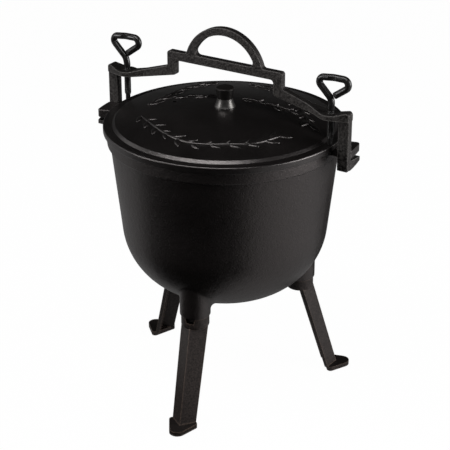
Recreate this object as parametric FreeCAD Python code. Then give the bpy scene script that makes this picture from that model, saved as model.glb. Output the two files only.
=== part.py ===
import FreeCAD
import Part
import math
import os

os.makedirs("parts", exist_ok=True)

# A cast iron cauldron on three legs, with its lid held down by a yoke and two clamp screws.
# The floor is z = 0, +Z is up, and the pot's axis is the Z axis.
# The two lugs of the pot lie on the X axis. All sizes are in millimetres and degrees.

# General clearances
rest_gap = 0.3
screw_fit = 0.05
leg_fit = 0.2
eps_len = 0.01
overlap = 2.0

# Pot: bowl, collar and wall
rim_z = 337.0
bowl_bottom_z = 129.5
wall_t = 5.5
wall_top_r = 137.0
wall_draft = 6.1
knuckle_r = 90.0
crown_r = 1000.0
collar_step = 3.5
collar_h = 15.0
collar_round = 1.5
rim_round = 1.0

# Lugs of the pot, under which the yoke hooks
lug_above_rim = 2.5
lug_t = 10.0
lug_reach = 25.0
lug_root = 6.5
lug_corner_r = 4.0
lug_edge_r = 1.0
lid_gap = 1.0

# Leg bosses and the keyed stubs below them
leg_count = 3
leg_turn = 2.75
leg_first_az = -90.0
boss_inset = 42.0
boss_r = 18.5
boss_bottom_z = 133.0
boss_root_h = 70.0
boss_round = 2.0
boss_blend = 7.0
stub_r = 10.0
stub_len = 11.0
stub_chamfer = 1.0
key_w = 7.8
key_reach = 13.0
key_h = 5.0

# Lid
lid_over = 4.5
flange_t = 8.0
flange_round = 1.8
flange_w = 11.0
step_run = 3.2
step_h = 3.2
dome_top_h = 18.0
seat_margin = 1.0
lid_t = 5.5
spigot_gap = 1.1
spigot_t = 5.3
spigot_h = 6.0
vent_r = 3.0
vent_axis_r = 66.7
vent_az = 180.0
knob_hole_r = 3.4

# Knob, its ferrule, screw and washer
ferrule_foot_r = 12.5
ferrule_foot_h = 1.6
ferrule_waist_r = 9.2
ferrule_h = 11.5
ferrule_flare_r = 10.6
ferrule_bore_r = 3.2
cap_foot_r = 9.3
cap_top_r = 11.3
cap_h = 14.0
cap_round = 2.0
cap_crown = 0.8
knob_thread_r = 3.0
thread_depth = 9.0
washer_r = 8.0
washer_t = 1.6
pan_head_r = 5.6
pan_head_h = 3.6
pan_round = 1.6
slot_w = 1.4
slot_depth = 1.6

# Legs
head_r = 17.0
head_h = 15.0
head_round = 3.5
cup_extra = 0.5
notch_top_w = 12.5
notch_foot_w = 8.5
notch_h = 6.5
ridge_out = 18.2
leg_splay = 32.6
wing_top_w = 23.5
wing_foot_w = 21.0
wing_t = 5.0
wing_half_angle = 47.0
wing_start_h = 13.0
foot_t = 5.5
foot_toe = 16.7
foot_heel = 14.8
foot_apex_round = 10.0
foot_half_w = 18.0
foot_base_round = 4.5

# Yoke: bar, handle, risers, arms
yoke_az = -7.4
yoke_t = 9.0
bar_lift = 64.6
bar_h = 10.8
riser_in = 67.5
riser_w = 11.5
handle_in_r = 44.8
handle_w = 9.2
handle_sink = 3.4
bar_corner_r = 3.5
handle_foot_r = 4.0
opening_corner_r = 5.0
riser_foot_r = 4.0
riser_heel_r = 3.0
arm_lift = 31.0
arm_h = 7.8
arm_rise = 15.4
arm_root_h = 9.7
arm_flat_w = 7.5
arm_bend_r = 12.0
eye_r = 12.5
eye_t = 5.6
eye_taper = 15.0
arm_end_rise = 5.9
arm_end_w = 11.0
arm_end_round = 4.0

# Yoke: hook plates and tongues
plate_gap = 8.3
plate_t = 13.5
plate_root_r = 2.0
plate_foot_r = 1.5
plate_below_lug = 12.5
tongue_reach = 33.0
tongue_taper = 5.0
tongue_tip_h = 4.8
cast_edge_r = 1.0
swell_edge_r = 1.0

# Clamp screws, bent from round rod
screw_inset = 3.8
rod_r = 4.0
rod_chamfer = 0.6
thread_mean_r = 3.6
thread_len = 35.7
point_r = 2.9
point_len = 7.0
shank_len = 10.9
shank_lean = 1.5
loop_h = 27.2
loop_drop = 3.0
loop_peak = 1.0
loop_left = 23.7
loop_right = 32.8
loop_end_s = 3.2
loop_end_h = 6.0
lean_bend_r = 20.0
bend_first_r = 12.0
bend_left_r = 5.9
bend_peak_r = 40.0
bend_right_r = 6.3
pinch_r = 20.0
pinch_t = 6.2

# Levels and radii that follow from the sizes above
draft_run = math.tan(math.radians(wall_draft))
draft_cos = math.cos(math.radians(wall_draft))
collar_r = wall_top_r + collar_step
collar_bottom_z = rim_z - collar_h
lug_top_z = rim_z + lug_above_rim
lug_bottom_z = lug_top_z - lug_t
lug_inner_r = collar_r - lug_root
lug_outer_r = collar_r + lug_reach
lid_z = rim_z + flange_t
lid_r = collar_r + lid_over
step_foot_r = lid_r - flange_w
step_top_r = step_foot_r - step_run
spigot_z = rim_z - spigot_h
spigot_r = wall_top_r + (spigot_z - collar_bottom_z) * draft_run - wall_t / draft_cos - spigot_gap
dome_top_z = lid_z + dome_top_h
seat_r = ferrule_foot_r + seat_margin
boss_axis_r = wall_top_r - boss_inset
head_bottom_z = boss_bottom_z - head_h
ridge_top_r = boss_axis_r + ridge_out
ridge_foot_r = ridge_top_r + leg_splay
foot_apex_r = ridge_foot_r + foot_toe
foot_base_r = ridge_foot_r - foot_heel
eye_s = lid_r - screw_inset
plate_in = lid_r + plate_gap
arm_end = plate_in + plate_t
arm_mid = eye_s - arm_flat_w
arm_far = eye_s + arm_flat_w
eye_start = eye_s - eye_r - eye_taper
arm_mid_bottom_z = lid_z + arm_lift
arm_mid_top_z = arm_mid_bottom_z + arm_h
arm_root_bottom_z = arm_mid_bottom_z + arm_rise
arm_root_top_z = arm_root_bottom_z + arm_root_h
eye_bottom_z = arm_mid_top_z - eye_t
arm_end_top_z = arm_mid_top_z + arm_end_rise
bar_bottom_z = lid_z + bar_lift
bar_top_z = bar_bottom_z + bar_h
riser_out = riser_in + riser_w
handle_out_r = handle_in_r + handle_w
handle_centre_z = bar_bottom_z - handle_sink
plate_bottom_z = lug_bottom_z - plate_below_lug
tongue_root_top_z = lug_bottom_z - rest_gap
tongue_tip_top_z = tongue_root_top_z - tongue_taper
tongue_tip_bottom_z = tongue_tip_top_z - tongue_tip_h
screw_tip_z = lid_z + rest_gap
thread_top_z = screw_tip_z + point_len + thread_len
lean_z = thread_top_z + shank_len / 3
loop_bend_z = thread_top_z + shank_len
loop_top_z = loop_bend_z + loop_h
loop_end_z = loop_bend_z + loop_end_h
leg_az = [leg_first_az + leg_turn + i * 360.0 / leg_count for i in range(leg_count)]


def vec(x, y, z):
    return FreeCAD.Vector(x, y, z)


def turned(shape, angle):
    copy = shape.copy()
    copy.rotate(vec(0, 0, 0), vec(0, 0, 1), angle)
    return copy


def rz(point):
    return vec(point[0], 0, point[1])


def line(a, b):
    return Part.makeLine(rz(a), rz(b))


def arc(a, m, b):
    return Part.Arc(rz(a), rz(m), rz(b)).toShape()


def revolved(edges):
    face = Part.Face(Part.Wire(edges))
    return face.revolve(vec(0, 0, 0), vec(0, 0, 1), 360)


def on_circle(centre, radius, a, b):
    # The point of a circle halfway between two of its points.
    mx = (a[0] + b[0]) / 2 - centre[0]
    mz = (a[1] + b[1]) / 2 - centre[1]
    size = math.hypot(mx, mz)
    return (centre[0] + mx * radius / size, centre[1] + mz * radius / size)


def ring_edges(shape, radius, z):
    # Full circles about the Z axis with this radius and height.
    found = []
    for edge in shape.Edges:
        box = edge.BoundBox
        flat = box.ZLength < eps_len and abs(box.ZMin - z) < eps_len
        if flat and abs(box.XMax - radius) < eps_len and abs(box.YMax - radius) < eps_len:
            found.append(edge)
    return found


def side_edges(shape, points):
    # Straight edges along Y that pass through the given (x, z) points.
    found = []
    for edge in shape.Edges:
        box = edge.BoundBox
        if box.XLength > eps_len or box.ZLength > eps_len:
            continue
        for px, pz in points:
            if abs(box.XMin - px) < eps_len and abs(box.ZMin - pz) < eps_len:
                found.append(edge)
    return found


def tube(r_out, z0, z1):
    return Part.makeCylinder(r_out, z1 - z0, vec(0, 0, z0))


# Bowl section: a drafted wall, a knuckle arc and a nearly flat crown, all tangent.
def bowl_section():
    draft = math.radians(wall_draft)
    down = (-math.sin(draft), -math.cos(draft))
    inward = (-math.cos(draft), math.sin(draft))
    crown_c = (0.0, bowl_bottom_z + crown_r)
    base = (wall_top_r + inward[0] * knuckle_r, collar_bottom_z + inward[1] * knuckle_r)
    wx = base[0] - crown_c[0]
    wz = base[1] - crown_c[1]
    half_b = wx * down[0] + wz * down[1]
    rest = wx * wx + wz * wz - (crown_r - knuckle_r) ** 2
    run = -half_b + math.sqrt(half_b * half_b - rest)
    centre = (base[0] + down[0] * run, base[1] + down[1] * run)
    out = (centre[0] - crown_c[0], centre[1] - crown_c[1])
    size = math.hypot(out[0], out[1])
    return centre, crown_c, inward, (out[0] / size, out[1] / size), down


def bowl_edges(offset):
    # Edges from the axis out and up to the wall, moved inward by the offset.
    centre, crown_c, inward, out, down = bowl_section()
    k_r = knuckle_r - offset
    c_r = crown_r - offset
    bottom = (0.0, bowl_bottom_z + offset)
    low = (centre[0] + out[0] * k_r, centre[1] + out[1] * k_r)
    high = (centre[0] - inward[0] * k_r, centre[1] - inward[1] * k_r)
    crown = arc(bottom, on_circle(crown_c, c_r, bottom, low), low)
    knuckle = arc(low, on_circle(centre, k_r, low, high), high)
    return [crown, knuckle], bottom, high, down


def wall_at(high, down, z):
    return (high[0] + down[0] * (z - high[1]) / down[1], z)


def solid_to(offset, top_z, tail):
    # Turned solid inside the bowl section, closed by the tail points down the axis.
    edges, bottom, high, down = bowl_edges(offset)
    top = wall_at(high, down, top_z)
    points = [high, top] + tail
    for i in range(len(points) - 1):
        edges.append(line(points[i], points[i + 1]))
    edges.append(line(points[-1], bottom))
    return revolved(edges)


def lug(angle):
    # The lug's sides lie parallel to the yoke's plates at both of their stops.
    lean = math.radians(abs(yoke_az))
    off = yoke_t / 2 + rest_gap
    corners = []
    for s in (lug_inner_r, lug_outer_r + overlap):
        x = s * math.cos(lean) + off * math.sin(lean)
        y = s * math.sin(lean) - off * math.cos(lean)
        corners.append((x, y))
    (x0, y0), (x1, y1) = corners
    plan = [(x0, -y0), (x1, -y1), (x1, y1), (x0, y0)]
    wire = Part.makePolygon([vec(x, y, lug_bottom_z) for x, y in plan + plan[:1]])
    body = Part.Face(wire).extrude(vec(0, 0, lug_t))
    body = body.common(tube(lug_outer_r, lug_bottom_z, lug_top_z))
    outer = [e for e in body.Edges if e.BoundBox.ZLength > lug_t / 2 and e.BoundBox.XMin > x0 + lug_t]
    body = body.makeFillet(lug_corner_r, outer)
    level = [e for e in body.Edges if e.BoundBox.ZLength < eps_len and e.BoundBox.XMax > x0 + lug_t]
    body = body.makeFillet(lug_edge_r, level)
    return turned(body, angle)


def boss(angle):
    body = Part.makeCylinder(boss_r, boss_root_h, vec(boss_axis_r, 0, boss_bottom_z))
    foot = [e for e in body.Edges if e.BoundBox.ZMax < boss_bottom_z + eps_len]
    body = body.makeFillet(boss_round, foot)
    return turned(body, angle)


def stub(angle):
    top = boss_bottom_z + overlap
    body = Part.makeCylinder(stub_r, stub_len + overlap, vec(boss_axis_r, 0, top), vec(0, 0, -1))
    foot = [e for e in body.Edges if e.BoundBox.ZMax < boss_bottom_z - stub_len + eps_len]
    body = body.makeChamfer(stub_chamfer, foot)
    corner = vec(boss_axis_r, -key_w / 2, boss_bottom_z - key_h)
    key = Part.makeBox(key_reach, key_w, key_h + overlap, corner)
    return turned(body.fuse(key), angle)


# Pot: one casting
def make_pot():
    collar_top = [(collar_r, collar_bottom_z), (collar_r, rim_z), (0.0, rim_z)]
    body = solid_to(0.0, collar_bottom_z, collar_top)
    for angle in leg_az:
        body = body.fuse(boss(angle))
    blend = []
    for edge in body.Edges:
        box = edge.BoundBox
        if box.ZLength > boss_r / 2 and box.ZMax < collar_bottom_z and box.XLength + box.YLength > boss_r:
            blend.append(edge)
    body = body.makeFillet(boss_blend, blend)
    body = body.makeFillet(collar_round, ring_edges(body, collar_r, collar_bottom_z))
    for angle in (0.0, 180.0):
        body = body.fuse(lug(angle))
    above = tube(lid_r + lid_gap, rim_z, lug_top_z + overlap)
    cavity = solid_to(wall_t, rim_z + overlap, [(0.0, rim_z + overlap)])
    body = body.cut(above).cut(cavity)
    for angle in leg_az:
        body = body.fuse(stub(angle))
    return body.removeSplitter()


def dome_ball(top_z, edge_r, edge_z):
    # Radius and centre height of the ball through the dome's top and its edge.
    rise = top_z - edge_z
    radius = (edge_r * edge_r + rise * rise) / (2 * rise)
    return radius, top_z - radius


# Lid: one casting, its dome stepped up from a flat flange
def make_lid():
    ball_r, ball_z = dome_ball(dome_top_z, step_top_r, lid_z + step_h)
    seat_z = ball_z + math.sqrt(ball_r ** 2 - seat_r ** 2)
    under_r = ball_r - lid_t
    in_r = spigot_r - spigot_t
    under_edge_z = ball_z + math.sqrt(under_r ** 2 - in_r ** 2)
    under_seat_z = ball_z + math.sqrt(under_r ** 2 - seat_r ** 2)
    step_top = (step_top_r, lid_z + step_h)
    seat = (seat_r, seat_z)
    top = arc(step_top, on_circle((0.0, ball_z), ball_r, step_top, seat), seat)
    under_a = (seat_r, under_seat_z)
    under_b = (in_r, under_edge_z)
    below = arc(under_a, on_circle((0.0, ball_z), under_r, under_a, under_b), under_b)
    path = [(in_r, spigot_z), (spigot_r, spigot_z), (spigot_r, rim_z), (lid_r, rim_z)]
    path += [(lid_r, lid_z), (step_foot_r, lid_z), step_top]
    edges = [line(under_b, path[0])]
    for i in range(len(path) - 1):
        edges.append(line(path[i], path[i + 1]))
    hub = [seat, (0.0, seat_z), (0.0, under_seat_z), under_a]
    edges.append(top)
    for i in range(len(hub) - 1):
        edges.append(line(hub[i], hub[i + 1]))
    edges.append(below)
    body = revolved(edges)
    body = body.makeFillet(flange_round, ring_edges(body, lid_r, lid_z))
    body = body.makeFillet(rim_round, ring_edges(body, lid_r, rim_z))
    body = body.makeFillet(rim_round, ring_edges(body, step_top_r, lid_z + step_h))
    body = body.cut(tube(knob_hole_r, lid_z, dome_top_z + overlap))
    vent = turned(Part.makeCylinder(vent_r, dome_top_h + overlap, vec(vent_axis_r, 0, lid_z)), vent_az)
    return body.cut(vent), seat_z, under_seat_z


# Knob group: bright ferrule, black cap, screw and washer on the lid's axis
def make_ferrule(seat_z):
    waist_z = seat_z + ferrule_h
    foot_z = seat_z + ferrule_foot_h
    flare_z = seat_z + ferrule_h / 2
    flare = arc((ferrule_foot_r, foot_z), (ferrule_flare_r, flare_z), (ferrule_waist_r, waist_z))
    edges = [line((ferrule_bore_r, seat_z), (ferrule_foot_r, seat_z))]
    edges.append(line((ferrule_foot_r, seat_z), (ferrule_foot_r, foot_z)))
    edges.append(flare)
    edges.append(line((ferrule_waist_r, waist_z), (ferrule_bore_r, waist_z)))
    edges.append(line((ferrule_bore_r, waist_z), (ferrule_bore_r, seat_z)))
    return revolved(edges)


def make_cap(foot_z):
    top_z = foot_z + cap_h
    side_z = top_z - cap_crown
    crown_mid = (cap_top_r / 2, top_z - cap_crown / 4)
    edges = [line((knob_thread_r, foot_z), (cap_foot_r, foot_z))]
    edges.append(line((cap_foot_r, foot_z), (cap_top_r, side_z)))
    edges.append(arc((cap_top_r, side_z), crown_mid, (0.0, top_z)))
    hole_z = foot_z + thread_depth
    edges.append(line((0.0, top_z), (0.0, hole_z)))
    edges.append(line((0.0, hole_z), (knob_thread_r, hole_z)))
    edges.append(line((knob_thread_r, hole_z), (knob_thread_r, foot_z)))
    body = revolved(edges)
    return body.makeFillet(cap_round, ring_edges(body, cap_top_r, side_z))


def make_washer(top_z):
    return tube(washer_r, top_z - washer_t, top_z).cut(tube(ferrule_bore_r, top_z - washer_t, top_z))


def make_knob_screw(head_top_z, tip_z):
    head_z = head_top_z - pan_head_h
    head = tube(pan_head_r, head_z, head_top_z)
    head = head.makeFillet(pan_round, ring_edges(head, pan_head_r, head_z))
    slot = Part.makeBox(pan_head_r * 2, slot_w, slot_depth, vec(-pan_head_r, -slot_w / 2, head_z))
    return head.fuse(tube(knob_thread_r, head_top_z, tip_z)).cut(slot)


# Leg: cup head with key notch, V section and foot plate, one casting
def wing_wire(ridge_r, width, z):
    half = math.radians(wing_half_angle)
    back = (-math.cos(half), math.sin(half))
    square = (-math.sin(half), -math.cos(half))
    deep = ridge_r - wing_t / math.sin(half)
    end = (ridge_r + back[0] * width, back[1] * width)
    end_in = (end[0] + square[0] * wing_t, end[1] + square[1] * wing_t)
    plan = [(ridge_r, 0.0), end, end_in, (deep, 0.0)]
    plan += [(end_in[0], -end_in[1]), (end[0], -end[1]), (ridge_r, 0.0)]
    return Part.makePolygon([vec(x, y, z) for x, y in plan])


def foot_plate():
    # Rounded triangle: straight sides tangent to three corner circles.
    apex = (foot_apex_r - foot_apex_round, 0.0, foot_apex_round)
    base_x = foot_base_r + foot_base_round
    base_y = foot_half_w - foot_base_round
    dx = apex[0] - base_x
    dist = math.hypot(dx, base_y)
    lean = math.atan2(base_y, dx) - math.asin((foot_apex_round - foot_base_round) / dist)
    nx = math.sin(lean)
    ny = math.cos(lean)
    a = (apex[0] + nx * foot_apex_round, ny * foot_apex_round)
    b = (base_x + nx * foot_base_round, base_y + ny * foot_base_round)
    turn = (math.pi + math.atan2(ny, nx)) / 2
    b_mid = (base_x + math.cos(turn) * foot_base_round, base_y + math.sin(turn) * foot_base_round)
    c = (foot_base_r, base_y)
    top = [vec(x, y, 0) for x, y in (a, b, b_mid, c)]
    low = [vec(v.x, -v.y, 0) for v in top]
    tip = vec(foot_apex_r, 0, 0)
    edges = [Part.makeLine(top[0], top[1]), Part.Arc(top[1], top[2], top[3]).toShape()]
    edges += [Part.makeLine(top[3], low[3]), Part.Arc(low[3], low[2], low[1]).toShape()]
    edges += [Part.makeLine(low[1], low[0]), Part.Arc(low[0], tip, top[0]).toShape()]
    return Part.Face(Part.Wire(edges)).extrude(vec(0, 0, foot_t))


def make_leg(angle):
    head = Part.makeCylinder(head_r, head_h, vec(boss_axis_r, 0, head_bottom_z))
    lower = [e for e in head.Edges if e.BoundBox.ZMax < head_bottom_z + eps_len]
    head = head.makeFillet(head_round, lower)
    start_z = boss_bottom_z - wing_start_h
    run = (start_z - foot_t) / (head_bottom_z - foot_t)
    start_r = ridge_foot_r + (ridge_top_r - ridge_foot_r) * run
    start_w = wing_foot_w + (wing_top_w - wing_foot_w) * run
    over_r = ridge_foot_r - (ridge_top_r - ridge_foot_r) * overlap / (head_bottom_z - foot_t)
    wires = [wing_wire(start_r, start_w, start_z), wing_wire(over_r, wing_foot_w, foot_t - overlap)]
    wings = Part.makeLoft(wires, True, True)
    body = head.fuse(wings).fuse(foot_plate())
    cup_len = stub_len + cup_extra
    cup = Part.makeCylinder(stub_r + leg_fit, cup_len, vec(boss_axis_r, 0, boss_bottom_z - cup_len))
    low_z = boss_bottom_z - notch_h
    sides = [(-notch_foot_w / 2, low_z), (notch_foot_w / 2, low_z)]
    sides += [(notch_top_w / 2, boss_bottom_z), (-notch_top_w / 2, boss_bottom_z)]
    wire = Part.makePolygon([vec(boss_axis_r, y, z) for y, z in sides + sides[:1]])
    notch = Part.Face(wire).extrude(vec(head_r + overlap, 0, 0))
    return turned(body.cut(cup).cut(notch), angle)


# Yoke: built in its own XZ plane, then turned to the stop on the lugs
def side_prism(points, width):
    wire = Part.makePolygon([vec(x, -width / 2, z) for x, z in points + points[:1]])
    return Part.Face(wire).extrude(vec(0, width, 0))


def side_box(s0, s1, z0, z1):
    return side_prism([(s0, z0), (s1, z0), (s1, z1), (s0, z1)], yoke_t)


def ring_y(radius, width):
    return Part.makeCylinder(radius, width, vec(0, -width / 2, handle_centre_z), vec(0, 1, 0))


def arm_points(bottom_z):
    # Outline of one arm from the riser to its end, over a level underside at the eye.
    points = [(riser_in, arm_root_bottom_z), (arm_mid, bottom_z), (arm_end, bottom_z)]
    points += [(arm_end, arm_end_top_z), (arm_far, arm_mid_top_z), (arm_mid, arm_mid_top_z)]
    points += [(riser_out, arm_root_top_z), (riser_in, arm_root_top_z)]
    return points


def face_edges(body, sides):
    # Edges of the faces that stand square to Y at the given places.
    found = {}
    for face in body.Faces:
        box = face.BoundBox
        if box.YLength < eps_len and any(abs(box.YMin - y) < eps_len for y in sides):
            for edge in face.Edges:
                found[edge.hashCode()] = edge
    return list(found.values())


def yoke_flat():
    # Bar, half-round handle, risers, arms and plates: one thickness, corners and edges rounded.
    keep = side_box(-handle_out_r, handle_out_r, bar_bottom_z, handle_centre_z + handle_out_r)
    hoop = ring_y(handle_out_r, yoke_t).cut(ring_y(handle_in_r, yoke_t)).common(keep)
    half = side_prism(arm_points(arm_mid_bottom_z), yoke_t)
    half = half.fuse(side_box(riser_in, riser_out, arm_root_bottom_z, bar_top_z))
    half = half.fuse(side_box(plate_in, arm_end, plate_bottom_z, arm_mid_top_z))
    body = side_box(-riser_out, riser_out, bar_bottom_z, bar_top_z).fuse(hoop)
    body = body.fuse(half).fuse(turned(half, 180)).removeSplitter()
    foot_s = math.sqrt(handle_out_r ** 2 - (bar_top_z - handle_centre_z) ** 2)
    in_s = math.sqrt(handle_in_r ** 2 - (bar_top_z - handle_centre_z) ** 2)
    corners = [(bar_corner_r, riser_out, bar_top_z), (handle_foot_r, foot_s, bar_top_z)]
    corners += [(opening_corner_r, in_s, bar_top_z), (riser_foot_r, riser_out, arm_root_top_z)]
    corners += [(riser_foot_r, riser_in, bar_bottom_z), (riser_heel_r, riser_in, arm_root_bottom_z)]
    corners += [(arm_end_round, arm_end, arm_end_top_z), (arm_bend_r, arm_mid, arm_mid_bottom_z)]
    corners += [(arm_bend_r, arm_mid, arm_mid_top_z), (arm_bend_r, arm_far, arm_mid_top_z)]
    corners += [(plate_root_r, plate_in, arm_mid_bottom_z), (plate_foot_r, plate_in, plate_bottom_z)]
    corners += [(plate_foot_r, arm_end, plate_bottom_z)]
    for radius, s, z in corners:
        body = body.makeFillet(radius, side_edges(body, [(s, z), (-s, z)]))
    return body.makeFillet(cast_edge_r, face_edges(body, (-yoke_t / 2, yoke_t / 2)))


def eye_plan():
    # Plan of the swelling round the screw, between two straight tapers.
    tall = arm_root_top_z - eye_bottom_z
    shapes = []
    for far_s, far_w in ((eye_start, yoke_t / 2), (arm_end, arm_end_w / 2)):
        dx = eye_s - far_s
        dist = math.hypot(dx, far_w)
        spread = math.acos(eye_r / dist)
        aim = math.atan2(far_w, -dx)
        hit = aim - spread if dx > 0 else aim + spread
        tx = eye_s + eye_r * math.cos(hit)
        ty = eye_r * math.sin(hit)
        plan = [(far_s, -far_w), (tx, -ty), (tx, ty), (far_s, far_w)]
        wire = Part.makePolygon([vec(x, y, eye_bottom_z) for x, y in plan + plan[:1]])
        shapes.append(Part.Face(wire).extrude(vec(0, 0, tall)))
    disc = Part.makeCylinder(eye_r, tall, vec(eye_s, 0, eye_bottom_z))
    return disc.multiFuse(shapes)


def eye_swell():
    # The swelling follows the arm's top and is thinner than the arm.
    side = side_prism(arm_points(eye_bottom_z), eye_r * 2)
    side = side.makeFillet(arm_end_round, side_edges(side, [(arm_end, arm_end_top_z)]))
    bends = side_edges(side, [(arm_mid, arm_mid_top_z), (arm_far, arm_mid_top_z)])
    side = side.makeFillet(arm_bend_r, bends)
    body = side.common(eye_plan()).removeSplitter()
    round_edges = []
    for edge in body.Edges:
        box = edge.BoundBox
        if box.XLength > eps_len and box.ZMin > eye_bottom_z + eps_len:
            round_edges.append(edge)
    return body.makeFillet(swell_edge_r, round_edges)


def tongue():
    # Tapered wedge that reaches from the plate along the rim, under the lug.
    start = yoke_t / 2 - overlap
    side = [(start, plate_bottom_z), (start, tongue_root_top_z)]
    side += [(tongue_reach, tongue_tip_top_z), (tongue_reach, tongue_tip_bottom_z)]
    wire = Part.makePolygon([vec(plate_in, y, z) for y, z in side + side[:1]])
    body = Part.Face(wire).extrude(vec(arm_end - plate_in, 0, 0))
    return body.common(tube(math.hypot(arm_end, yoke_t / 2), plate_bottom_z, lug_top_z))


def make_yoke():
    half = eye_swell().fuse(tongue())
    body = yoke_flat().fuse(half).fuse(turned(half, 180))
    for side in (1, -1):
        foot = vec(side * eye_s, 0, plate_bottom_z)
        body = body.cut(Part.makeCylinder(thread_mean_r + screw_fit, arm_root_top_z - foot.z, foot))
    return turned(body, yoke_az)


# Clamp screw: straight threaded shank, then a triangular loop for the hand
def rod_path(lean):
    corners = [(0.0, thread_top_z, 0.0), (0.0, lean_z, lean_bend_r), (lean, loop_bend_z, bend_first_r)]
    corners += [(lean - loop_left, loop_top_z - loop_drop, bend_left_r)]
    corners += [(lean + loop_peak, loop_top_z, bend_peak_r), (lean + loop_right, loop_top_z, bend_right_r)]
    corners += [(lean + loop_end_s, loop_end_z, 0.0)]
    edges = []
    start = rz(corners[0][:2])
    for i in range(1, len(corners) - 1):
        here = rz(corners[i][:2])
        back = (rz(corners[i - 1][:2]) - here).normalize()
        ahead = (rz(corners[i + 1][:2]) - here).normalize()
        half = back.getAngle(ahead) / 2
        cut = corners[i][2] / math.tan(half)
        first = here + back * cut
        last = here + ahead * cut
        bisector = (back + ahead).normalize()
        centre = here + bisector * (corners[i][2] / math.sin(half))
        middle = centre - bisector * corners[i][2]
        edges.append(Part.makeLine(start, first))
        edges.append(Part.Arc(first, middle, last).toShape())
        start = last
    edges.append(Part.makeLine(start, rz(corners[-1][:2])))
    return Part.Wire(edges)


def make_clamp_screw(side):
    tip_z = screw_tip_z
    path = rod_path(side * shank_lean)
    circle = Part.Wire(Part.makeCircle(rod_r, rz((0.0, thread_top_z)), vec(0, 0, 1)))
    rod = path.makePipeShell([circle], True, False)
    for face in (1, -1):
        dent = vec(side * shank_lean + loop_peak, face * (pinch_r + pinch_t / 2), loop_bend_z)
        rod = rod.cut(Part.makeCylinder(pinch_r, loop_h + overlap * 2, dent))
    lower = [e for e in rod.Edges if e.BoundBox.ZMax < thread_top_z + eps_len]
    rod = rod.makeChamfer(rod_r - thread_mean_r, lower)
    thread = tube(thread_mean_r, tip_z + point_len, thread_top_z)
    start = [e for e in thread.Edges if e.BoundBox.ZMax < tip_z + point_len + eps_len]
    thread = thread.makeChamfer(rod_chamfer, start)
    point = tube(point_r, tip_z, tip_z + point_len)
    foot = [e for e in point.Edges if e.BoundBox.ZMax < tip_z + eps_len]
    point = point.makeChamfer(rod_chamfer, foot)
    body = rod.fuse(thread).fuse(point)
    body.translate(vec(side * eye_s, 0, 0))
    return turned(body, yoke_az)


lid, lid_seat_z, lid_under_z = make_lid()
cap_z = lid_seat_z + ferrule_h
nodes = {
    "pot": make_pot(),
    "lid": lid,
    "knob_collar": make_ferrule(lid_seat_z),
    "knob": make_cap(cap_z),
    "knob_washer": make_washer(lid_under_z),
    "knob_screw": make_knob_screw(lid_under_z - washer_t, cap_z + thread_depth - rest_gap),
    "leg_front": make_leg(leg_az[0]),
    "leg_right": make_leg(leg_az[1]),
    "leg_left": make_leg(leg_az[2]),
    "yoke": make_yoke(),
    "clamp_screw_right": make_clamp_screw(1),
    "clamp_screw_left": make_clamp_screw(-1),
}

for name, shape in nodes.items():
    print(name, shape.isValid(), len(shape.Solids), round(shape.Volume))
    shape.exportStep("parts/" + name + ".step")
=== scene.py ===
from functools import partial
import math

import bpy
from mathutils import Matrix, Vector


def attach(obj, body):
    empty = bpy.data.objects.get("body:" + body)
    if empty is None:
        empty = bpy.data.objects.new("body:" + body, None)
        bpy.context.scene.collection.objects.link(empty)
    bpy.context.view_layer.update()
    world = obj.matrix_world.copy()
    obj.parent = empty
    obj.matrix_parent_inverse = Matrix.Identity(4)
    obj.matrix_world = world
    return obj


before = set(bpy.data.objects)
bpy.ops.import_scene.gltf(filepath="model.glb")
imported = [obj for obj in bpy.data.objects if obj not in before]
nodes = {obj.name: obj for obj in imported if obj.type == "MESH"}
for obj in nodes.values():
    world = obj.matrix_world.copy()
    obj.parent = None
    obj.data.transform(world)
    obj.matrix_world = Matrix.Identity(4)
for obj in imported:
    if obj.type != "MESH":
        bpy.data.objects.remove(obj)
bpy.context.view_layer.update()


# The pot. One sand casting in grey iron, seasoned black: a deep bowl with a
# thick collar at the mouth, two lugs for the yoke and three bosses for legs.
# Its skin is fine cast grain under a thin, uneven coat of burnt-on oil.

def fill(tree, node, values):
    # Sets inputs by their name or number, each with a wire or a plain value.
    for label, value in values.items():
        if isinstance(value, bpy.types.NodeSocket):
            tree.links.new(value, node.inputs[label])
        else:
            node.inputs[label].default_value = value
    return node


def add(tree, kind, values, **settings):
    # A new node, with its own settings first and then its inputs.
    node = tree.nodes.new(kind)
    for name, setting in settings.items():
        setattr(node, name, setting)
    return fill(tree, node, values)


def math_node(tree, operation, *values, clamp=False):
    values = dict(enumerate(values))
    return add(tree, "ShaderNodeMath", values, operation=operation, use_clamp=clamp).outputs[0]


def map_range(tree, value, start, end, top=1.0, blend="LINEAR"):
    # Nothing below start, the top value beyond end, and a slope between them.
    values = {"Value": value, "From Min": start, "From Max": end, "To Max": top}
    return add(tree, "ShaderNodeMapRange", values, interpolation_type=blend).outputs["Result"]


def blend_colour(tree, factor, first, second):
    mix = add(tree, "ShaderNodeMix", {0: factor}, data_type="RGBA")
    colours = [number for number, socket in enumerate(mix.inputs) if socket.type == "RGBA"]
    fill(tree, mix, dict(zip(colours, (first, second))))
    return next(socket for socket in mix.outputs if socket.type == "RGBA")


def noise(tree, place, scale, detail, rough=0.5):
    values = {"Vector": place, "Scale": scale, "Detail": detail, "Roughness": rough}
    return add(tree, "ShaderNodeTexNoise", values).outputs["Fac"]


def relief(tree, skin, height, depth, strength=1.0):
    bump = add(tree, "ShaderNodeBump", {"Strength": strength, "Distance": depth, "Height": height})
    fill(tree, skin, {"Normal": bump.outputs["Normal"]})


def new_skin(name):
    # A fresh material, with its tree and its surface shader.
    material = bpy.data.materials.new(name)
    material.use_nodes = True
    return material, material.node_tree, material.node_tree.nodes["Principled BSDF"]


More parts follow.
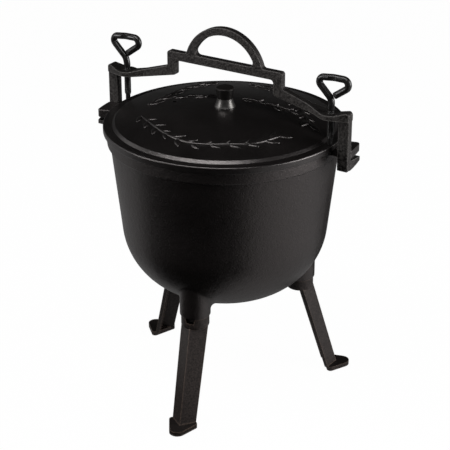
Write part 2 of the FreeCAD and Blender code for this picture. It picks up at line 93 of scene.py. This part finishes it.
def shader_group(name, inputs, outputs):
    group = bpy.data.node_groups.new(name, "ShaderNodeTree")
    new_socket = partial(group.interface.new_socket, socket_type="NodeSocketFloat")
    for label, value in inputs.items():
        new_socket(label, in_out="INPUT").default_value = value
    for label in outputs:
        new_socket(label, in_out="OUTPUT")
    return group, group.nodes.new("NodeGroupInput").outputs, group.nodes.new("NodeGroupOutput")


def use_group(tree, group, values):
    return add(tree, "ShaderNodeGroup", values, node_tree=group).outputs


def cast_grain_group():
    # Height of the sand's print, soft patches of tone and fine specks on a casting.
    patches_per_wave = 0.12
    pits_per_grain = 0.45
    pit_floor, pit_rim = 0.10, 0.32
    grain_height, wave_height, pit_depth = 0.6, 0.8, 0.5
    group, given, result = shader_group(
        "cast_grain",
        {"Grains per metre": 900.0, "Waves per metre": 160.0, "Pits": 0.5},
        ("Height", "Tone", "Speck"),
    )
    calc = partial(math_node, group)
    grains, waves = given["Grains per metre"], given["Waves per metre"]
    place = group.nodes.new("ShaderNodeTexCoord").outputs["Object"]
    fine = noise(group, place, grains, detail=3.0, rough=0.6)
    wave = noise(group, place, waves, detail=2.0)
    patches = calc("MULTIPLY", waves, patches_per_wave)
    patch = noise(group, place, patches, detail=3.0, rough=0.6)
    pits = add(group, "ShaderNodeTexVoronoi",
               {"Vector": place, "Scale": calc("MULTIPLY", grains, pits_per_grain)})
    sunk = calc("SUBTRACT", 1.0, map_range(group, pits.outputs["Distance"], pit_floor, pit_rim))
    sunk = calc("MULTIPLY", sunk, given["Pits"])
    height = calc("MULTIPLY", fine, grain_height)
    height = calc("ADD", height, calc("MULTIPLY", wave, wave_height))
    height = calc("SUBTRACT", height, calc("MULTIPLY", sunk, pit_depth))
    fill(group, result, {"Height": height, "Tone": patch, "Speck": fine})
    return group


def worn_highlit_edge_group():
    # Where a casting's edges turn sharply its skin is lighter: partly rubbed wear, partly a
    # painted highlight.
    group, given, result = shader_group("worn_highlit_edge", {"Width": 0.0012, "Gain": 6.0}, ("Edge",))
    soft = add(group, "ShaderNodeBevel", {"Radius": given["Width"]}, samples=4)
    flat = group.nodes.new("ShaderNodeNewGeometry").outputs["Normal"]
    dot = add(group, "ShaderNodeVectorMath", {0: soft.outputs["Normal"], 1: flat},
              operation="DOT_PRODUCT")
    away = math_node(group, "SUBTRACT", 1.0, dot.outputs["Value"])
    edge = math_node(group, "MULTIPLY", away, given["Gain"], clamp=True)
    fill(group, result, {"Edge": edge})
    return group


cast_grain = cast_grain_group()
worn_highlit_edge = worn_highlit_edge_group()

noise_middle = 0.5   # the value that noise swings about
top_shade_starts = 0.30   # upward part of the normal where painted shade on tops begins
top_shade_full = 0.80  # and where it is full
blue_loss = 1.15     # a warm sheen loses so much more blue than green
patch_gloss = 0.12   # swing of the roughness from patch to patch
edge_gloss = 0.12    # how much smoother a rubbed edge is


def iron(name, dark, light, worn_highlit_colour, rough, grains=900.0, waves=160.0, depth=0.00012, pits=0.4,
         speck=0.35, spread=0.15, top_shade=0.0, edge=0.5, edge_width=0.0012, edge_gain=6.0,
         specular=0.3, ior=1.5, warmth=0.07):
    # Black casting: two tones in specks and patches, painted shade on what looks up,
    # edges lighter from wear and a painted highlight, and the grain in the relief.
    material, tree, skin = new_skin(name)
    calc = partial(math_node, tree)
    grain = use_group(tree, cast_grain,
                      {"Grains per metre": grains, "Waves per metre": waves, "Pits": pits})
    edge_found = use_group(tree, worn_highlit_edge, {"Width": edge_width, "Gain": edge_gain})
    specks = calc("MULTIPLY", grain["Speck"], speck)
    tone = calc("ADD", specks, calc("MULTIPLY", grain["Tone"], 1.0 - speck))
    tone = map_range(tree, tone, noise_middle - spread, noise_middle + spread)
    colour = blend_colour(tree, tone, dark, light)
    facing = tree.nodes.new("ShaderNodeTexCoord").outputs["Normal"]
    upward = add(tree, "ShaderNodeSeparateXYZ", {0: facing}).outputs["Z"]
    # Painted shade: faces that look up are blended toward the dark tone, standing in for weak
    # light from above.
    shaded_top = map_range(tree, upward, top_shade_starts, top_shade_full, top_shade)
    colour = blend_colour(tree, shaded_top, colour, dark)
    # Painted highlight with wear: sharp edges are blended toward the light edge colour.
    edge_lightening = calc("MULTIPLY", edge_found["Edge"], edge)
    colour = blend_colour(tree, edge_lightening, colour, worn_highlit_colour)
    gloss = calc("MULTIPLY", calc("SUBTRACT", grain["Tone"], noise_middle), patch_gloss)
    gloss = calc("ADD", gloss, rough)
    gloss = calc("SUBTRACT", gloss, calc("MULTIPLY", edge_lightening, edge_gloss), clamp=True)
    fill(tree, skin, {
        "Base Color": colour,
        "Roughness": gloss,
        "IOR": ior,
        "Specular IOR Level": specular,
        "Specular Tint": (1.0, 1.0 - warmth, 1.0 - blue_loss * warmth, 1),
    })
    relief(tree, skin, grain["Height"], depth)
    return material


def dress(material, *names):
    for name in names:
        for slot in nodes[name].material_slots:
            slot.material = material


pot_iron = iron(
    "seasoned_pot_iron", dark=(0.0022, 0.0017, 0.0016, 1), light=(0.0038, 0.0030, 0.0028, 1),
    worn_highlit_colour=(0.03, 0.029, 0.028, 1), rough=0.40, grains=560.0, waves=150.0, depth=0.00040,
    specular=0.95, warmth=0.10)
dress(pot_iron, "pot")


# The three legs. Each is a casting of its own: a cup that plugs over a keyed
# stub under the pot, an angle section turned ridge outwards, and a flat foot.
# They see the fire and are left rough, so they are browner than the bowl.

# Painted shade darkens the legs' top faces.
leg_iron = iron(
    "rough_leg_iron", dark=(0.004, 0.0029, 0.0025, 1), light=(0.034, 0.0265, 0.0238, 1),
    worn_highlit_colour=(0.11, 0.080, 0.064, 1), rough=0.5, grains=500.0, depth=0.00025,
    speck=0.85, spread=0.14, top_shade=0.9, edge=0.8, edge_width=0.0018, edge_gain=12.0,
    specular=0.4)
dress(leg_iron, "leg_front", "leg_right", "leg_left")


# The lid. A domed casting, stepped up from a flat flange that rests on the
# collar. Leaf sprigs are cast in low relief on its top, round the knob.

lid_iron = iron(
    "seasoned_lid_iron", dark=(0.0014, 0.0010, 0.0010, 1), light=(0.0026, 0.0020, 0.0019, 1),
    worn_highlit_colour=(0.03, 0.029, 0.028, 1), rough=0.34, grains=600.0, waves=140.0, depth=0.00026,
    specular=0.5, ior=1.72)
dress(lid_iron, "lid")

flange_z = 0.345
dome_edge_rise = 0.0032
dome_top_z = 0.363
dome_edge_r = 0.1308
dome_rise = dome_top_z - (flange_z + dome_edge_rise)
dome_ball_r = (dome_edge_r ** 2 + dome_rise ** 2) / (2 * dome_rise)

leaf_length = 0.0185
leaf_width = 0.0075
leaf_tip_half = 0.00012
leaf_crown = 0.0014
leaf_sink = 0.0007
leaf_rows = 9
leaf_across = (-1.0, -0.62, -0.16, 0.0, 0.16, 0.62, 1.0)  # shares of the half width
leaf_belly = 0.8       # below 1 the leaf is widest nearer its stem
leaf_roundness = 0.6   # below 1 the crown is fuller than a ball's
leaf_end_share = 0.06  # the ends keep the height that the leaf has here
leaf_end_height = 0.35
vein_height = 0.82
leaf_least, leaf_most = 0.8, 1.15
stem_r = 0.0016
stem_sides = 10
first_seed = 3


def maker_tree(name, inputs):
    # A Geometry Nodes tree with named inputs, a skin to wear and one mesh out.
    tree = bpy.data.node_groups.new(name, "GeometryNodeTree")
    new_socket = tree.interface.new_socket
    new_socket("Geometry", in_out="INPUT", socket_type="NodeSocketGeometry")
    for label, value in inputs.items():
        kind = "NodeSocketInt" if isinstance(value, int) else "NodeSocketFloat"
        new_socket(label, in_out="INPUT", socket_type=kind).default_value = value
    new_socket("Skin", in_out="INPUT", socket_type="NodeSocketMaterial")
    new_socket("Geometry", in_out="OUTPUT", socket_type="NodeSocketGeometry")
    return tree, tree.nodes.new("NodeGroupInput").outputs, tree.nodes.new("NodeGroupOutput")


def wear_skin(tree, mesh, given, result):
    # A maker tree's last step: the mesh gets its material and goes out.
    dressed = add(tree, "GeometryNodeSetMaterial", {"Geometry": mesh, "Material": given["Skin"]})
    fill(tree, result, {0: dressed.outputs[0]})


def make_piece(name, tree, values, start=None):
    # Runs a tree on a start mesh or curve and keeps the result as a plain mesh.
    start = start or bpy.data.meshes.new(name + "_start")
    source = bpy.data.objects.new(name + "_maker", start)
    bpy.context.scene.collection.objects.link(source)
    modifier = source.modifiers.new("maker", "NODES")
    modifier.node_group = tree
    for item in tree.interface.items_tree:
        if item.in_out == "INPUT" and item.name in values:
            modifier[item.identifier] = values[item.name]
    bpy.context.view_layer.update()
    ready = source.evaluated_get(bpy.context.evaluated_depsgraph_get())
    mesh = bpy.data.meshes.new_from_object(ready)
    mesh.name = name
    for face in mesh.polygons:
        face.use_smooth = True
    bpy.data.objects.remove(source)
    piece = bpy.data.objects.new(name, mesh)
    bpy.context.scene.collection.objects.link(piece)
    return piece


def shaped_leaf(name):
    # A slender pointed leaf, crowned along its middle with a fine vein groove.
    verts, faces = [], []
    for row in range(leaf_rows):
        along = row / (leaf_rows - 1)
        half = 0.5 * leaf_width * math.sin(math.pi * along ** leaf_belly) + leaf_tip_half
        swell = math.sin(math.pi * min(max(along, leaf_end_share), 1 - leaf_end_share))
        height = leaf_crown * (leaf_end_height + (1 - leaf_end_height) * swell)
        for across in leaf_across:
            vein = vein_height if across == 0.0 else 1.0
            top = height * (1 - across ** 2) ** leaf_roundness * vein
            verts.append((along * leaf_length, across * half, top))
    wide = len(leaf_across)
    for row in range(leaf_rows - 1):
        for column in range(wide - 1):
            corner = row * wide + column
            faces.append((corner, corner + wide, corner + wide + 1, corner + 1))
    # A wall runs down from the leaf's rim, and a flat face closes it below.
    rim = list(range(wide))
    rim += [row * wide + wide - 1 for row in range(1, leaf_rows)]
    rim += [(leaf_rows - 1) * wide + column for column in range(wide - 2, -1, -1)]
    rim += [row * wide for row in range(leaf_rows - 2, 0, -1)]
    base, count = len(verts), len(rim)
    verts += [(verts[index][0], verts[index][1], -leaf_sink) for index in rim]
    for place in range(count):
        after = (place + 1) % count
        faces.append((rim[place], rim[after], base + after, base + place))
    faces.append(tuple(range(base + count - 1, base - 1, -1)))
    mesh = bpy.data.meshes.new(name)
    mesh.from_pydata(verts, [], faces)
    mesh.update()
    return bpy.data.objects.new(name, mesh)


def stem_path(name, points):
    # The stem's line in the lid's plan, given by radius and angle.
    curve = bpy.data.curves.new(name, "CURVE")
    curve.dimensions = "3D"
    spline = curve.splines.new("NURBS")
    spline.points.add(len(points) - 1)
    for point, (radius, angle) in zip(spline.points, points):
        turn = math.radians(angle)
        point.co = (radius * math.cos(turn), radius * math.sin(turn), 0.0, 1.0)
    spline.order_u = 3
    spline.use_endpoint_u = True
    spline.resolution_u = 12
    return curve


def sprig_tree(leaf):
    tree, given, result = maker_tree("leaf_sprig", {
        "Leaf spacing": 0.011, "Leaf angle": 0.6, "Leaf size": 1.0, "Stem radius": stem_r,
        "Seed": 1, "Ball radius": dome_ball_r, "Ball height": dome_top_z - dome_ball_r})
    new, calc = tree.nodes.new, partial(math_node, tree)
    stem = given["Geometry"]
    points = add(tree, "GeometryNodeCurveToPoints",
                 {"Curve": stem, "Length": given["Leaf spacing"]}, mode="LENGTH")
    # Leaves stand left and right of the stem by turns, each a little different.
    odd = calc("MODULO", new("GeometryNodeInputIndex").outputs[0], 2.0)
    side = calc("SUBTRACT", calc("MULTIPLY", odd, 2.0), 1.0)
    jitter = add(tree, "FunctionNodeRandomValue", {"Seed": given["Seed"]}, data_type="FLOAT")
    least, most = [socket for socket in jitter.inputs if socket.type == "VALUE"][:2]
    least.default_value, most.default_value = leaf_least, leaf_most
    chance = next(socket for socket in jitter.outputs if socket.type == "VALUE")
    turn = calc("MULTIPLY", calc("MULTIPLY", side, given["Leaf angle"]), chance)
    spin = add(tree, "ShaderNodeCombineXYZ", {"Z": turn})
    tangent = add(tree, "FunctionNodeAlignEulerToVector",
                  {"Vector": points.outputs["Tangent"]}, axis="X", pivot_axis="Z")
    rotate = add(tree, "FunctionNodeRotateEuler",
                 {"Rotation": tangent.outputs["Rotation"], "Rotate By": spin.outputs[0]},
                 space="LOCAL")
    size = calc("MULTIPLY", chance, given["Leaf size"])
    sizes = add(tree, "ShaderNodeCombineXYZ", {"X": size, "Y": size, "Z": 1.0})
    source = add(tree, "GeometryNodeObjectInfo", {"Object": leaf})
    leaves = add(tree, "GeometryNodeInstanceOnPoints", {
        "Points": points.outputs["Points"], "Instance": source.outputs["Geometry"],
        "Rotation": rotate.outputs["Rotation"], "Scale": sizes.outputs[0]})
    section = add(tree, "GeometryNodeCurvePrimitiveCircle",
                  {"Resolution": stem_sides, "Radius": given["Stem radius"]})
    twig = add(tree, "GeometryNodeCurveToMesh",
               {"Curve": stem, "Profile Curve": section.outputs["Curve"], "Fill Caps": True})
    both = new("GeometryNodeJoinGeometry")
    for part in (leaves.outputs["Instances"], twig.outputs["Mesh"]):
        fill(tree, both, {0: part})
    real = add(tree, "GeometryNodeRealizeInstances", {0: both.outputs[0]})
    # Everything is bent onto the dome: its height follows the ball of the lid.
    place = add(tree, "ShaderNodeSeparateXYZ", {0: new("GeometryNodeInputPosition").outputs[0]})
    square = calc("ADD", calc("POWER", place.outputs["X"], 2.0),
                  calc("POWER", place.outputs["Y"], 2.0))
    ball = calc("POWER", given["Ball radius"], 2.0)
    rise = calc("ADD", calc("SQRT", calc("SUBTRACT", ball, square)), given["Ball height"])
    lift = add(tree, "ShaderNodeCombineXYZ", {"Z": rise})
    bend = add(tree, "GeometryNodeSetPosition",
               {"Geometry": real.outputs[0], "Offset": lift.outputs[0]})
    wear_skin(tree, bend.outputs[0], given, result)
    return tree


relief_leaf = shaped_leaf("relief_leaf")
leaf_sprig = sprig_tree(relief_leaf)

# Each sprig: the leaves' spacing, their angle to the stem and their size, and
# then the stem's line as radius in metres and angle in degrees.
sprigs = [
    ("sprig_front", 0.0105, 0.62, 0.86,
     [(0.099, -150), (0.094, -128), (0.099, -104), (0.104, -84), (0.099, -62), (0.104, -44),
      (0.097, -26)]),
    ("sprig_back_left", 0.010, 0.5, 1.1,
     [(0.096, -172), (0.089, 172), (0.093, 156), (0.108, 136), (0.116, 124)]),
    ("sprig_back_right", 0.0105, 0.52, 1.1,
     [(0.113, 99), (0.108, 84), (0.098, 66), (0.090, 44), (0.096, 20), (0.104, 6)]),
    ("sprig_inner_left", 0.0095, 0.55, 0.85,
     [(0.040, 128), (0.050, 146), (0.064, 158)]),
    ("sprig_inner_right", 0.0095, 0.55, 0.9,
     [(0.038, 80), (0.048, 56), (0.062, 34), (0.078, 26)]),
]
for seed, (name, spacing, angle, size, line) in enumerate(sprigs, first_seed):
    values = {"Leaf spacing": spacing, "Leaf angle": angle, "Leaf size": size, "Seed": seed,
              "Skin": lid_iron}
    sprig = make_piece(name, leaf_sprig, values, stem_path(name + "_line", line))
    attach(sprig, "pot")
bpy.data.objects.remove(relief_leaf)


# The knob. A black turned cap on a bright steel collar, drawn down on the lid
# by a slotted pan-head screw and a washer from below.

mark_gloss = 0.25
mark_strength = 0.6


def steel(name, colour, rough, marks_per_metre, metal=1.0, streak=0.3, depth=0.00004):
    # Turned or drawn steel: fine marks that run round the piece or along it.
    material, tree, skin = new_skin(name)
    place = tree.nodes.new("ShaderNodeTexCoord").outputs["Object"]
    stretch = add(tree, "ShaderNodeMapping", {"Vector": place, "Scale": marks_per_metre})
    marks = noise(tree, stretch.outputs[0], scale=1.0, detail=4.0)
    dark, light = [tuple(c * share for c in colour) + (1,) for share in (1 - streak, 1 + streak)]
    gloss = math_node(tree, "SUBTRACT", marks, noise_middle)
    gloss = math_node(tree, "MULTIPLY", gloss, mark_gloss)
    fill(tree, skin, {
        "Base Color": blend_colour(tree, marks, dark, light),
        "Roughness": math_node(tree, "ADD", gloss, rough, clamp=True),
        "Metallic": metal,
    })
    relief(tree, skin, marks, depth, mark_strength)
    return material


turned_steel = steel(
    "turned_bright_steel", (0.11, 0.106, 0.102), rough=0.40,
    marks_per_metre=(60.0, 60.0, 2600.0))
plain_steel = steel(
    "plain_steel", (0.42, 0.42, 0.41), rough=0.4, marks_per_metre=(900.0, 900.0, 900.0))
knob_black = iron(
    "black_knob", dark=(0.004, 0.0036, 0.0034, 1), light=(0.007, 0.0064, 0.006, 1),
    worn_highlit_colour=(0.02, 0.019, 0.018, 1), rough=0.45, grains=1400.0, depth=0.00004, pits=0.1,
    specular=0.2)
dress(turned_steel, "knob_collar")
dress(plain_steel, "knob_screw", "knob_washer")
dress(knob_black, "knob")


# The yoke. A flat iron casting, 9 mm thick: bar with a half-round handle, two
# arms stepped down to an eye each, and hooked plates that turn under the
# lugs. It is left as it came from the sand, so its flat faces are grainy.

# Painted shade darkens the yoke's top faces.
yoke_iron = iron(
    "grainy_yoke_iron", dark=(0.0015, 0.0013, 0.0012, 1), light=(0.040, 0.037, 0.035, 1),
    worn_highlit_colour=(0.16, 0.152, 0.146, 1), rough=0.5, grains=460.0, waves=220.0, depth=0.0005,
    pits=0.9, speck=0.92, spread=0.09, top_shade=0.85, edge=0.9, edge_width=0.0016, edge_gain=8.0,
    specular=0.4)
dress(yoke_iron, "yoke")


# The two clamp screws. M8 rod with a cut thread and a plain point, bent at
# the top into a closed triangular loop for the fingers, dark and oiled.

screw_steel = steel(
    "dark_screw_steel", (0.006, 0.0052, 0.0050), rough=0.32,
    marks_per_metre=(240.0, 240.0, 120.0), metal=0.0, streak=0.15, depth=0.000001)
dress(screw_steel, "clamp_screw_left", "clamp_screw_right")

thread_pitch = 0.00125
thread_core_r = 0.0036
thread_crest_r = 0.0040
thread_low_z = 0.3529
thread_high_z = 0.3876
point_margin = 0.001        # what lies so far below the thread is the point
steps_per_turn = 28
ridge_sides = 7
ridge_flank = 1.15          # above 1 the crest is cut off flat
ridge_half_share = 0.42     # half the ridge's foot, as a share of the pitch
runout_rate = 28.0          # each end of the ridge rises over 1/28 of its length
runout_sink = 0.0001
seam_width = 0.00001


def thread_tree():
    # One helical ridge: a long strip folded round the rod, closed underneath.
    tree, given, result = maker_tree("cut_thread", {
        "Low end": thread_low_z, "High end": thread_high_z, "Pitch": thread_pitch,
        "Core radius": thread_core_r, "Crest radius": thread_crest_r,
        "Centre X": 0.0, "Centre Y": 0.0, "Steps per turn": steps_per_turn})
    new, calc = tree.nodes.new, partial(math_node, tree)
    length = calc("SUBTRACT", given["High end"], given["Low end"])
    turns = calc("DIVIDE", length, given["Pitch"])
    steps = calc("MULTIPLY", turns, given["Steps per turn"])
    strip = add(tree, "GeometryNodeMeshGrid",
                {"Size X": 1.0, "Size Y": 1.0, "Vertices X": steps, "Vertices Y": ridge_sides})
    flat = add(tree, "ShaderNodeSeparateXYZ", {0: new("GeometryNodeInputPosition").outputs[0]})
    # A place on the strip counts from 0 to 1, along the ridge and across it.
    along = calc("ADD", flat.outputs["X"], 0.5)
    across = calc("ADD", flat.outputs["Y"], 0.5)
    # Round the ridge: the strip's edge line goes once round a trapezoid.
    lap = calc("MULTIPLY", across, 2 * math.pi)
    crest = calc("SUBTRACT", given["Crest radius"], given["Core radius"])
    nearest = calc("MINIMUM", along, calc("SUBTRACT", 1.0, along))
    ends = calc("MULTIPLY", nearest, runout_rate, clamp=True)
    height = calc("MULTIPLY", calc("MULTIPLY", calc("SINE", lap), crest), ridge_flank)
    height = calc("MINIMUM", calc("MULTIPLY", height, ends), crest)
    sunk = calc("MULTIPLY", calc("SUBTRACT", 1.0, ends), runout_sink)
    height = calc("SUBTRACT", height, sunk)
    radius = calc("ADD", given["Core radius"], height)
    half = calc("MULTIPLY", given["Pitch"], ridge_half_share)
    level = calc("ADD", calc("MULTIPLY", along, length), given["Low end"])
    level = calc("ADD", level, calc("MULTIPLY", calc("COSINE", lap), half))
    angle = calc("MULTIPLY", calc("MULTIPLY", along, turns), 2 * math.pi)
    x = calc("MULTIPLY", radius, calc("COSINE", angle))
    y = calc("MULTIPLY", radius, calc("SINE", angle))
    point = add(tree, "ShaderNodeCombineXYZ", {
        "X": calc("ADD", x, given["Centre X"]), "Y": calc("ADD", y, given["Centre Y"]),
        "Z": level})
    fold = add(tree, "GeometryNodeSetPosition",
               {"Geometry": strip.outputs["Mesh"], "Position": point.outputs[0]})
    seam = add(tree, "GeometryNodeMergeByDistance",
               {"Geometry": fold.outputs[0], "Distance": seam_width})
    wear_skin(tree, seam.outputs[0], given, result)
    return tree


cut_thread = thread_tree()
for name in ("clamp_screw_right", "clamp_screw_left"):
    below = thread_low_z - point_margin
    tip = [vertex.co for vertex in nodes[name].data.vertices if vertex.co.z < below]
    centre = sum(tip, Vector()) / len(tip)
    values = {"Centre X": centre.x, "Centre Y": centre.y, "Skin": screw_steel}
    thread = make_piece(name.replace("clamp_screw", "thread"), cut_thread, values)
    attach(thread, name)


# The stage: a pale floor that keeps a soft shadow, two black cards on it, a
# white sweep behind it under a dim studio, and four soft boxes. The camera
# stands where the photograph was taken from.

camera_azimuth = 24.73
camera_lift = 25.08
camera_reach = 1.784
camera_aim_z = 0.2084
focal_length = 1452.3  # in pixels of the photograph
photo_width = 450.0
sensor_width = 36.0

floor_half = 30.0
floor_seen = {"Is Camera Ray": 0.985, "Is Glossy Ray": 0.14, "Is Transmission Ray": 0.94}
world_seen = {"Is Camera Ray": 1.0, "Is Transmission Ray": 1.0}
sweep_low, sweep_high = 0.05, 0.40

# Corners as azimuth in degrees to the right of the camera and reach in metres.
card_height = 0.002
cards = {
    "front_card": [(-88, 0.16), (-88, 1.8), (-40, 2.2), (0, 2.2), (24, 2.0), (24, 0.32),
                   (4, 0.20), (-10, 0.10), (-40, 0.10)],
    "side_card": [(116, 0.3), (116, 0.9), (150, 0.9), (150, 0.3)],
}

# Azimuth, lift, reach, watts, width, height, and the height of the point lit.
soft_boxes = {
    "top_box": (-35.0, 65.0, 1.5, 18.0, 1.7, 0.24, 0.34),
    "right_box": (74.0, 16.0, 1.6, 24.0, 0.9, 0.9, 0.25),
    "left_box": (-112.0, 24.0, 1.6, 2.0, 0.6, 1.0, 0.30),
    "fill_box": (-74.0, 14.0, 1.8, 11.0, 0.5, 0.5, 0.30),
}


def toward(azimuth, reach):
    # A place on the floor, by its azimuth to the right of the camera and its reach.
    turn = math.radians(camera_azimuth + azimuth)
    return reach * math.sin(turn), -reach * math.cos(turn)


def stand(name, data, azimuth, lift, reach, aim_z):
    # Places a lamp or the camera and turns it to a point on the pot's axis.
    thing = bpy.data.objects.new(name, data)
    bpy.context.scene.collection.objects.link(thing)
    rise = math.radians(lift)
    x, y = toward(azimuth, reach * math.cos(rise))
    aim = Vector((0.0, 0.0, aim_z))
    thing.location = aim + Vector((x, y, reach * math.sin(rise)))
    thing.rotation_euler = (aim - thing.location).to_track_quat("-Z", "Y").to_euler()
    return thing


def grey(level):
    return (level, level, level, 1)


def ray_share(tree, kinds):
    # The share of a ray, by what kind of ray it is.
    rays = tree.nodes.new("ShaderNodeLightPath")
    share = 0.0
    for kind, strength in kinds.items():
        part = math_node(tree, "MULTIPLY", rays.outputs[kind], strength)
        share = math_node(tree, "MAXIMUM", part, share)
    return share


def flat_sheet(name, corners, material, height=0.0):
    mesh = bpy.data.meshes.new(name)
    mesh.from_pydata([(x, y, height) for x, y in corners], [], [tuple(range(len(corners)))])
    mesh.materials.append(material)
    sheet = bpy.data.objects.new(name, mesh)
    bpy.context.scene.collection.objects.link(sheet)
    return sheet


# The camera sees the floor pale, while the object gets less light back from it.
pale, tree, skin = new_skin("pale_floor")
tree.nodes.remove(skin)
tone = blend_colour(tree, ray_share(tree, {"Is Camera Ray": 1.0}), grey(0.30), grey(0.85))
lit = add(tree, "ShaderNodeBsdfDiffuse", {"Color": tone})
white = add(tree, "ShaderNodeEmission", {"Strength": 1.0})
mixed = add(tree, "ShaderNodeMixShader",
            {0: ray_share(tree, floor_seen), 1: lit.outputs[0], 2: white.outputs[0]})
fill(tree, tree.nodes["Material Output"], {"Surface": mixed.outputs[0]})
square = [(-1, -1), (1, -1), (1, 1), (-1, 1)]
flat_sheet("floor", [(x * floor_half, y * floor_half) for x, y in square], pale)

# The cards lie out of the camera's sight and darken what the pot's skin mirrors.
card_black, tree, skin = new_skin("black_card")
fill(tree, skin, {"Base Color": grey(0.004), "Specular IOR Level": 0.0})
for name, corners in cards.items():
    card = flat_sheet(name, [toward(*corner) for corner in corners], card_black, card_height)
    card.visible_camera = False
    card.visible_shadow = False

world = bpy.data.worlds.new("studio")
bpy.context.scene.world = world
world.use_nodes = True
tree = world.node_tree
direction = tree.nodes.new("ShaderNodeTexCoord").outputs["Generated"]
upward = add(tree, "ShaderNodeSeparateXYZ", {0: direction}).outputs["Z"]
above = map_range(tree, upward, sweep_low, sweep_high, blend="SMOOTHSTEP")
sweep = blend_colour(tree, above, grey(0.060), grey(0.003))
shown = blend_colour(tree, ray_share(tree, world_seen), sweep, grey(1.0))
fill(tree, tree.nodes["Background"], {"Color": shown, "Strength": 1.0})

for name, (azimuth, lift, reach, power, wide, tall, aim_z) in soft_boxes.items():
    lamp = bpy.data.lights.new(name, "AREA")
    lamp.shape = "RECTANGLE"
    lamp.size, lamp.size_y = wide, tall
    lamp.energy = power
    stand(name, lamp, azimuth, lift, reach, aim_z)

camera_data = bpy.data.cameras.new("photo_camera")
camera_data.sensor_width = sensor_width
camera_data.lens = focal_length / photo_width * sensor_width
camera = stand("photo_camera", camera_data, 0.0, camera_lift, camera_reach, camera_aim_z)
bpy.context.scene.camera = camera
bpy.context.scene.view_settings.view_transform = "Standard"
